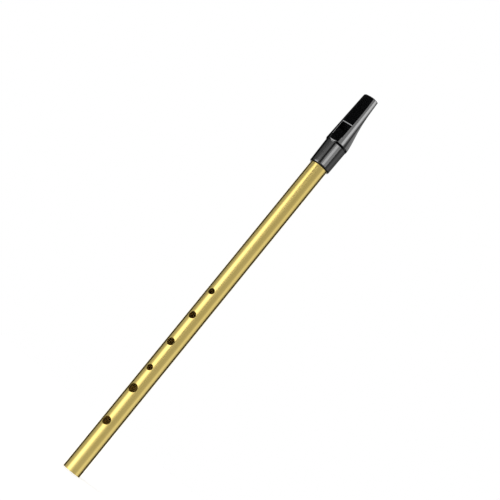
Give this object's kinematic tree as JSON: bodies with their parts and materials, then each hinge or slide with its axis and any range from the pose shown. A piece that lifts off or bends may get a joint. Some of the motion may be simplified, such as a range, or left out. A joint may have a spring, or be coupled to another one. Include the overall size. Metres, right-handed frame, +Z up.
{
  "type": "tin whistle",
  "caption": "High D tin whistle: straight brass tube with finger holes and a moulded black fipple head that slides for tuning.",
  "frame": {"origin": "centre of the tube's foot end, on the tube's axis", "axes": "+Z up the tube's axis from the foot to the mouthpiece's tip, -Y the way the finger holes and the window face, +X to the right of someone who looks at the holes"},
  "size_m": [0.0168, 0.0162, 0.305],
  "materials": {
    "brass_tube": "drawn and satin lacquered, fine lengthwise drawing lines",
    "head_plastic": "moulded, glossy black",
    "block_plastic": "moulded, glossy black"
  },
  "bodies": {
    "tube": {"tube": "brass_tube"},
    "head": {"head_shell": "head_plastic", "fipple_block": "block_plastic"}
  },
  "joints": [
    {"name": "tuning_slide", "type": "slide", "parent": "tube", "child": "head", "axis": [0, 0, 1], "range_m": [0, 0.01]}
  ]
}
